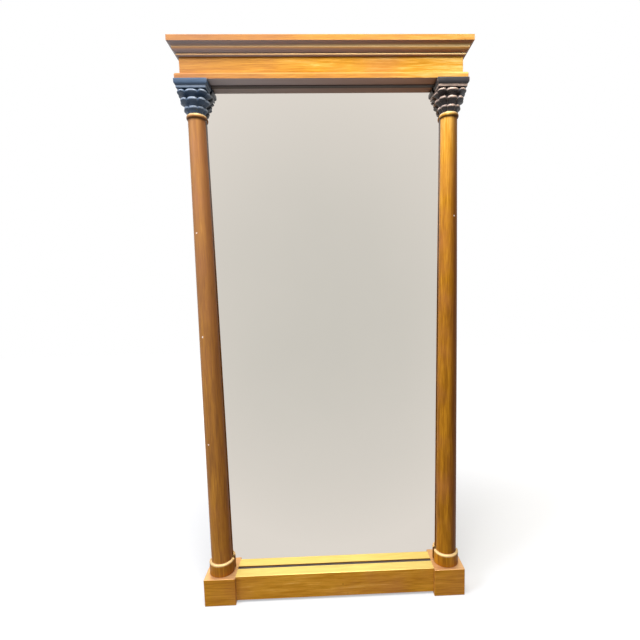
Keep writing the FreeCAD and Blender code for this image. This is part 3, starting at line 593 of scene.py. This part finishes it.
def ebonised_wood(colours):
    """Ebonised limewood: fine grained, stained black and polished. A satin black, painted bluish with cool light at the
    left and browner at the right, with painted highlights, grey at the left and tan at the right, on the leaves' lips,
    the fillet and open edges, where they also stand for rubbing and dust, and with the gouge's small facets."""
    material, add, place = start_material("ebonised_limewood")
    cuts = add("TexNoise", {"Vector": place, "Scale": 1 / (4.5 * mm), "Detail": 2})
    dust = add("TexNoise", {"Vector": place, "Scale": 1 / (14 * mm), "Detail": 3})
    across = add("SeparateXYZ", {"Vector": place}, "X")
    upward = add("SeparateXYZ", {"Vector": add("NewGeometry", output="Normal")}, "Z")
    openness = add("AmbientOcclusion", {"Distance": 8 * mm}, "AO", samples=8)
    lips = add("Attribute", output="Fac", attribute_name="lip_highlight")
    # The left-hand capital is painted bluish with cool light and the right-hand one is browner; the painted highlights
    # on lips and edges are grey at the left and tan at the right
    black = lay_coats(add, colours.ebony_cool_lit, [(across, -0.1, 0.1, 1, colours.ebony_browner_right)])
    rubbed = lay_coats(add, colours.ebony_rub_and_highlight, [(across, -0.1, 0.1, 1, colours.ebony_tan_highlight)])
    # Open edges and lips that face forward and up are painted pale as highlight, varied by the dust noise
    edge_wear_and_highlight_share = add("MapRange", {"Value": dust, "From Min": 0.35, "From Max": 0.65, "To Min": 0.2, "To Max": 0.5})
    lip_highlight_share = add("MapRange", {"Value": dust, "From Min": 0.3, "From Max": 0.65, "To Min": 0.5, "To Max": 0.95})
    open_edges = add("MapRange", {"Value": openness, "From Min": 0.39, "From Max": 0.75, "To Max": edge_wear_and_highlight_share})
    lit_lips = add("MapRange", {"Value": upward, "From Min": -0.7, "From Max": 0.05, "To Max": lip_highlight_share})
    tone = lay_coats(add, black, [(edge_lean(add, 1.8 * mm), 0.985, 0.80, open_edges, rubbed),
                                  (lips, 0, 1, lit_lips, rubbed)])
    close_material(
        add, Base_Color=tone, Specular_IOR_Level=0.4,
        Roughness=add("MapRange", {"Value": dust, "From Min": 0.3, "From Max": 0.7, "To Min": 0.3, "To Max": 0.48}),
        Normal=add("Bump", {"Height": cuts, "Strength": 0.3, "Distance": 0.5 * mm}))
    return material


def stained_wood(name, colours, axis):
    """Stained pine: planed softwood under dark brown oil stain, dull, with its growth lines still to be seen. Its dark
    brown also stands for painted shade in the narrow gaps beside the glass.
    """
    material, add, place = start_material(name)
    grain = streaky(add, place, axis, 3.2 * mm, 120 * mm)
    close_material(
        add, Base_Color=lay_coats(add, colours.stain, [(grain, 0.35, 0.68, 1, colours.stain_light)]),
        Roughness=add("MapRange", {"Value": grain, "From Min": 0.3, "From Max": 0.7, "To Min": 0.5, "To Max": 0.65}),
        Normal=add("Bump", {"Height": grain, "Strength": 0.25, "Distance": 0.3 * mm}))
    return material


def bare_pine(name, colours, axis, shift=0.0):
    """Bare pine: sawn and planed, never finished, gone honey brown. Clear late-wood lines, dry and matt, with grey
    dirt where hands and dust reach it. The shift in metres gives each board its own figure."""
    material, add, place = start_material(name)
    board = add("Mapping", {"Vector": place, "Location": (shift, 0, shift)})
    wander = add("TexNoise", {"Vector": board, "Scale": 1 / (160 * mm), "Detail": 3})
    stretch = [1.0, 1.0, 1.0]
    stretch[axis] = 0.06  # The figure runs some 17 times as far along the board as across it
    drawn = add("Mapping", {"Vector": board, "Scale": stretch})
    slow = add("TexNoise", {"Vector": drawn, "Scale": 1 / (30 * mm), "Detail": 1})
    # Growth lines about 5 mm apart: contours of a slow noise drawn out along the board
    contour = 1 / 13
    lines = add("Math", {0: slow, 1: contour}, operation="MODULO")
    fibre = streaky(add, board, axis, 1.2 * mm, 40 * mm)
    openness = add("AmbientOcclusion", {"Distance": 12 * mm}, "AO", samples=8)
    # Hollows that the AO finds are darkened with dirt and painted shade
    tone = lay_coats(add, colours.pine, [
        (lines, 0.55 * contour, contour, 0.75, colours.pine_late), (fibre, 0.55, 0.8, 0.35, colours.pine_late),
        (wander, 0.5, 0.75, 0.35, colours.grime_and_shade), (openness, 0.75, 0.15, 0.6, colours.grime_and_shade),
        (edge_lean(add, 3 * mm), 0.985, 0.80, 0.6, colours.grime_and_shade)])
    close_material(
        add, Base_Color=tone, Normal=add("Bump", {"Height": fibre, "Strength": 0.3, "Distance": 0.4 * mm}),
        Roughness=add("MapRange", {"Value": fibre, "From Min": 0.3, "From Max": 0.7, "To Min": 0.62, "To Max": 0.8}))
    return material


def silvered_glass(colours):
    """Silvered plate glass: polished flat, so it gives back the pale room, a little warm, and painted darker about its
    middle as a dimming of the reflection."""
    material, add, place = start_material("silvered_plate_glass")
    # An oval about the plate's middle, in which the painted dimming of the reflection fades as the square of the way
    # out
    half_width, half_height, middle_z = 0.45, 0.54, 0.65
    oval = add("Mapping", {"Vector": place, "Location": (0, 0, -middle_z / half_height),
                           "Scale": (1 / half_width, 0, 1 / half_height)})
    way_out = add("VectorMath", {0: oval, 1: oval}, "Value", operation="DOT_PRODUCT")
    clouds = add("TexNoise", {"Vector": place, "Scale": 1 / (260 * mm), "Detail": 3})
    painted_dimming = add("MapRange", {"Value": clouds, "From Min": 0.3, "From Max": 0.7, "To Min": 0.85})
    tone = lay_coats(add, colours.silvering, [(way_out, 1, 0, painted_dimming, colours.silvering_dimmed)])
    close_material(add, Base_Color=tone, Metallic=1.0,
                   Roughness=add("MapRange", {"Value": clouds, "From Min": 0.3, "From Max": 0.7,
                                              "To Min": 0.015, "To Max": 0.03}))
    return material


def screw_steel(colours):
    """Mild steel wood screws: turned, never plated. Dull grey with brown flecks of rust."""
    material, add, place = start_material("wood_screw_steel")
    flecks = add("TexNoise", {"Vector": place, "Scale": 1 / (1.6 * mm), "Detail": 3})
    close_material(
        add, Base_Color=lay_coats(add, colours.steel, [(flecks, 0.5, 0.68, 0.85, colours.rust)]), Metallic=0.85,
        Roughness=add("MapRange", {"Value": flecks, "From Min": 0.35, "From Max": 0.7, "To Min": 0.34, "To Max": 0.7}))
    return material


def old_brass(colours):
    """Brass, stamped and bent from strip and wire: yellow where the ring rubs, brown tarnish elsewhere."""
    material, add, place = start_material("tarnished_brass")
    patches = add("TexNoise", {"Vector": place, "Scale": 1 / (5 * mm), "Detail": 3})
    openness = add("AmbientOcclusion", {"Distance": 4 * mm}, "AO", samples=8)
    close_material(
        add, Metallic=1.0, Base_Color=lay_coats(add, colours.brass, [
            (patches, 0.39, 0.65, 0.8, colours.tarnish), (openness, 0.75, 0.15, 0.7, colours.tarnish)]),
        Roughness=add("MapRange", {"Value": patches, "From Min": 0.35, "From Max": 0.7, "To Min": 0.26, "To Max": 0.5}),
        Normal=add("Bump", {"Height": patches, "Strength": 0.1, "Distance": 0.1 * mm}))
    return material


def finish(material, *nodes):
    """Gives CAD nodes their finish in the slot that each has."""
    for name in nodes:
        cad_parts[name].material_slots[0].material = material


def both(*stems):
    """The left and right node of each stem."""
    return [f"{stem}_{side}" for stem in stems for side in ("left", "right")]


class CarveCapitals(bpy.types.Operator):
    """Carve one half capital and set a copy on each column"""

    bl_idname = "pier_mirror.carve_capitals"
    bl_label = "Carve Capitals"

    def execute(self, context):
        first = carve_capital(context.scene.pier_mirror_capital)
        material = ebonised_wood(context.scene.pier_mirror_finish)
        first.data.materials.clear()
        first.data.materials.append(material)
        bpy.ops.object.select_all(action="DESELECT")
        first.select_set(True)
        context.view_layer.objects.active = first
        bpy.ops.object.duplicate()
        for piece, side in ((first, "left"), (context.object, "right")):
            low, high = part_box(f"capital_{side}")
            bpy.ops.object.select_all(action="DESELECT")
            piece.select_set(True)
            context.view_layer.objects.active = piece
            piece.name = f"carved_capital_{side}"
            piece.location = ((low.x + high.x) / 2, high.y, low.z)
            bpy.ops.object.transform_apply(location=True, rotation=True, scale=True)
            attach(piece, "mirror")
            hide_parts(f"capital_{side}")
        return {"FINISHED"}


class GildWoodwork(bpy.types.Operator):
    """Gild the cornice, frieze, architrave, columns and base"""

    bl_idname = "pier_mirror.gild_woodwork"
    bl_label = "Gild Woodwork"

    def execute(self, context):
        colours = context.scene.pier_mirror_finish
        # Faces that look up: their colour and how metallic they are, a painted highlight on the rail, blocks, rings and
        # shafts
        rubbed_top, painted_turned_top = (colours.bole, 0.2), (colours.band, 0.3)
        painted_rail_top, painted_block_top = (colours.painted_top_highlight, 0.75), (colours.painted_block_top_highlight, 0.75)
        # Each piece's toning also sets how light it renders: lighter rail and blocks and darker cornice, rings and
        # shafts are partly real toning and partly painted light and shade of the lamps' fall from top to bottom
        finish(gilded_wood("giltwood_cornice", colours, ALONG_X, toning=0.5, top=rubbed_top, thinness=1.0,
                           highlight_bands=CORNICE_HIGHLIGHTS), "cornice_front")
        finish(gilded_wood("giltwood_lengthways", colours, ALONG_X, toning=-0.25, top=rubbed_top,
                           holes=NAIL_HOLES), "frieze_board")
        finish(gilded_wood("giltwood_architrave", colours, ALONG_X, toning=0.1, top=rubbed_top, thinness=0.6),
               "architrave_front")
        finish(gilded_wood("giltwood_returns", colours, ALONG_Y, toning=0.0, top=rubbed_top),
               *both("cornice_return", "frieze_end", "architrave_return"))
        finish(gilded_wood("giltwood_rail", colours, ALONG_X, toning=-0.5, top=painted_rail_top, holes=NAIL_HOLES),
               "base_rail")
        finish(gilded_wood("giltwood_blocks", colours, ALONG_X, toning=-0.25, top=painted_block_top),
               *both("plinth_block"))
        finish(gilded_wood("giltwood_rings", colours, ALONG_Z, toning=0.5, top=painted_turned_top, turned=(0.3, 1.0),
                           highlight_bands=RING_HIGHLIGHTS), *both("base_ring"))
        finish(gilded_wood("giltwood_shaft_left", colours, ALONG_Z, toning=0.55, top=painted_turned_top, thinness=0.5,
                           turned=(0.3, 1.1), chips=LEFT_CHIPS), "column_shaft_left")
        finish(gilded_wood("giltwood_shaft_right", colours, ALONG_Z, toning=0.6, top=painted_turned_top,
                           turned=(-0.1, 0.5), chips=RIGHT_CHIPS), "column_shaft_right")
        return {"FINISHED"}


class FinishFrame(bpy.types.Operator):
    """Stain the frame and silver the plate that it holds"""

    bl_idname = "pier_mirror.finish_frame"
    bl_label = "Finish Frame and Plate"

    def execute(self, context):
        colours = context.scene.pier_mirror_finish
        finish(stained_wood("stained_pine_upright", colours, ALONG_Z), *both("stile"))
        finish(stained_wood("stained_pine_lengthways", colours, ALONG_X), "head_rail", "foot_rail")
        finish(silvered_glass(colours), "mirror_plate")
        return {"FINISHED"}


class FinishBack(bpy.types.Operator):
    """Give the boards, blocks and pegs behind the mirror their bare pine, and the screws their steel"""

    bl_idname = "pier_mirror.finish_back"
    bl_label = "Finish Back"

    def execute(self, context):
        colours = context.scene.pier_mirror_finish
        for board in (1, 2, 3):
            finish(bare_pine(f"bare_pine_board_{board}", colours, ALONG_Z, shift=BOARD_SHIFT * board),
                   f"back_board_{board}")
        finish(bare_pine("bare_pine_upright", colours, ALONG_Z), "glass_blocks")
        finish(bare_pine("bare_pine_lengthways", colours, ALONG_X), "top_board", "glue_blocks", "rail_dowels")
        finish(bare_pine("bare_pine_end", colours, ALONG_Y), "joint_pegs")
        finish(screw_steel(colours), "board_screws", "frame_screws", "hanger_screws")
        return {"FINISHED"}


class FinishHangers(bpy.types.Operator):
    """Give the hanging rings and their straps old brass"""

    bl_idname = "pier_mirror.finish_hangers"
    bl_label = "Finish Hangers"

    def execute(self, context):
        finish(old_brass(context.scene.pier_mirror_finish), *both("hanger_strap", "hanger_ring"))
        return {"FINISHED"}


def seen_rays(add, *kinds):
    """One for these kinds of ray and nothing for others."""
    seen = 0.0
    for kind in kinds:
        seen = add("Math", {0: seen, 1: add("LightPath", output=kind)}, operation="MAXIMUM")
    return seen


def lay_floor(stage):
    """A pale paper floor: it takes the object's shadow, and white is added far off, where the camera sees it."""
    material, add, place = start_material("matt_studio_paper")
    tooth = add("TexNoise", {"Vector": place, "Scale": 1 / (2 * mm), "Detail": 3})
    bump = add("Bump", {"Height": tooth, "Strength": 0.05, "Distance": 0.2 * mm})
    paper = add("BsdfDiffuse", {"Color": stage.floor, "Normal": bump})
    away = add("VectorMath", {0: place}, "Value", operation="LENGTH")
    level = add("MapRange", {"Value": away, "From Min": 0.3, "From Max": 1.5,
                             "To Min": stage.floor_lift / 2, "To Max": stage.floor_lift})
    lift = add("Math", {0: seen_rays(add, "Is Camera Ray"), 1: level}, operation="MULTIPLY")
    lit = add("AddShader", {0: paper, 1: add("Emission", {"Strength": lift})})
    white = add("Emission", {"Strength": 1.0})
    either = add("MixShader", {"Fac": seen_rays(add, "Is Glossy Ray", "Is Transmission Ray"), 1: lit, 2: white})
    add("OutputMaterial", {"Surface": either})
    bpy.ops.object.select_all(action="DESELECT")
    bpy.ops.mesh.primitive_plane_add(size=stage.floor_size)
    floor = bpy.context.object
    floor.name = "studio_floor"
    floor.data.materials.append(material)


def light_room(stage):
    """A white room: white to the camera and in reflections, dimmer as light on the object."""
    world = bpy.data.worlds.new("white_room")
    bpy.context.scene.world = world
    world.use_nodes = True
    world.node_tree.nodes.clear()
    add = functools.partial(add_node, world.node_tree)
    seen = seen_rays(add, "Is Camera Ray", "Is Glossy Ray", "Is Transmission Ray")
    level = add("MapRange", {"Value": seen, "To Min": stage.daylight})
    add("OutputWorld", {"Surface": add("Background", {"Strength": level, "Color": (1, 1, 1, 1)})})


def hang_lamp(name, watts, size, place, tint="#FFFFFF"):
    """A square lamp that points at the object's middle; its size and place are in metres."""
    bpy.ops.object.light_add(type="AREA", location=place)
    lamp = bpy.context.object
    lamp.name = name
    lamp.data.energy, lamp.data.size = watts, size
    lamp.data.color = linear(tint)[:3]
    lamp.rotation_euler = (Vector(LAMP_TARGET) - Vector(place)).to_track_quat("-Z", "Y").to_euler()


def place_camera(stage):
    """The camera of the photograph, from its place, its turn and the shift of its frame."""
    pitch, yaw, roll = stage.camera_turn
    ahead = Vector((math.sin(yaw) * math.cos(pitch), math.cos(yaw) * math.cos(pitch), -math.sin(pitch)))
    right = Vector((math.cos(yaw), -math.sin(yaw), 0))
    above = right.cross(ahead)
    axes = [math.cos(roll) * right + math.sin(roll) * above, math.cos(roll) * above - math.sin(roll) * right, -ahead]
    turn = Matrix(axes).transposed().to_4x4()
    bpy.ops.object.camera_add()
    camera = bpy.context.object
    camera.matrix_world = Matrix.Translation(Vector(stage.camera_place)) @ turn
    camera.data.lens, camera.data.sensor_width = stage.lens, SENSOR_WIDTH
    camera.data.shift_x, camera.data.shift_y = stage.camera_shift
    camera.data.clip_start = 10 * mm
    bpy.context.scene.camera = camera


class SetStage(bpy.types.Operator):
    """Set the floor, the white room, the lamps and the camera"""

    bl_idname = "pier_mirror.set_stage"
    bl_label = "Set Stage"

    def execute(self, context):
        stage = context.scene.pier_mirror_stage
        context.scene.view_settings.view_transform = "Standard"
        lay_floor(stage)
        light_room(stage)
        hang_lamp("key_lamp", stage.key_watts, size=0.7, place=(0.02, -0.62, 2.1))
        hang_lamp("window_lamp", stage.window_watts, size=1.2, place=(-2.5, -1.5, 2.7), tint="#DCE6FF")
        hang_lamp("back_lamp", stage.back_watts, size=1.6, place=(-0.5, 1.7, 1.9))
        place_camera(stage)
        return {"FINISHED"}


class MirrorPanel(bpy.types.Panel):
    """Lists the pier mirror's sizes, colours and steps"""

    bl_idname = "VIEW3D_PT_pier_mirror"
    bl_label = "Pier Mirror"
    bl_space_type = "VIEW_3D"
    bl_region_type = "UI"
    bl_category = "Pier Mirror"

    def draw(self, context):
        for group in (context.scene.pier_mirror_capital, context.scene.pier_mirror_finish,
                      context.scene.pier_mirror_stage):
            box = self.layout.box()
            for name in group.__annotations__:
                box.prop(group, name)
        for step in STEPS:
            self.layout.operator(step.bl_idname)


GROUPS = {"pier_mirror_capital": CapitalSizes, "pier_mirror_finish": FinishColours,
          "pier_mirror_stage": StageSettings}
STEPS = (SetStage, CarveCapitals, GildWoodwork, FinishFrame, FinishBack, FinishHangers)
CLASSES = (*GROUPS.values(), *STEPS, MirrorPanel)


def register():
    """Registers the classes and gives the scene their settings."""
    for each in CLASSES:
        bpy.utils.register_class(each)
    for name, group in GROUPS.items():
        setattr(bpy.types.Scene, name, PointerProperty(type=group))


def unregister():
    """Takes the settings and classes away again."""
    for name in GROUPS:
        delattr(bpy.types.Scene, name)
    for each in reversed(CLASSES):
        bpy.utils.unregister_class(each)


def main():
    """Dresses the mirror step by step."""
    register()
    bpy.ops.pier_mirror.set_stage()
    bpy.ops.pier_mirror.carve_capitals()
    bpy.ops.pier_mirror.gild_woodwork()
    bpy.ops.pier_mirror.finish_frame()
    bpy.ops.pier_mirror.finish_back()
    bpy.ops.pier_mirror.finish_hangers()


if __name__ == "__main__":
    main()
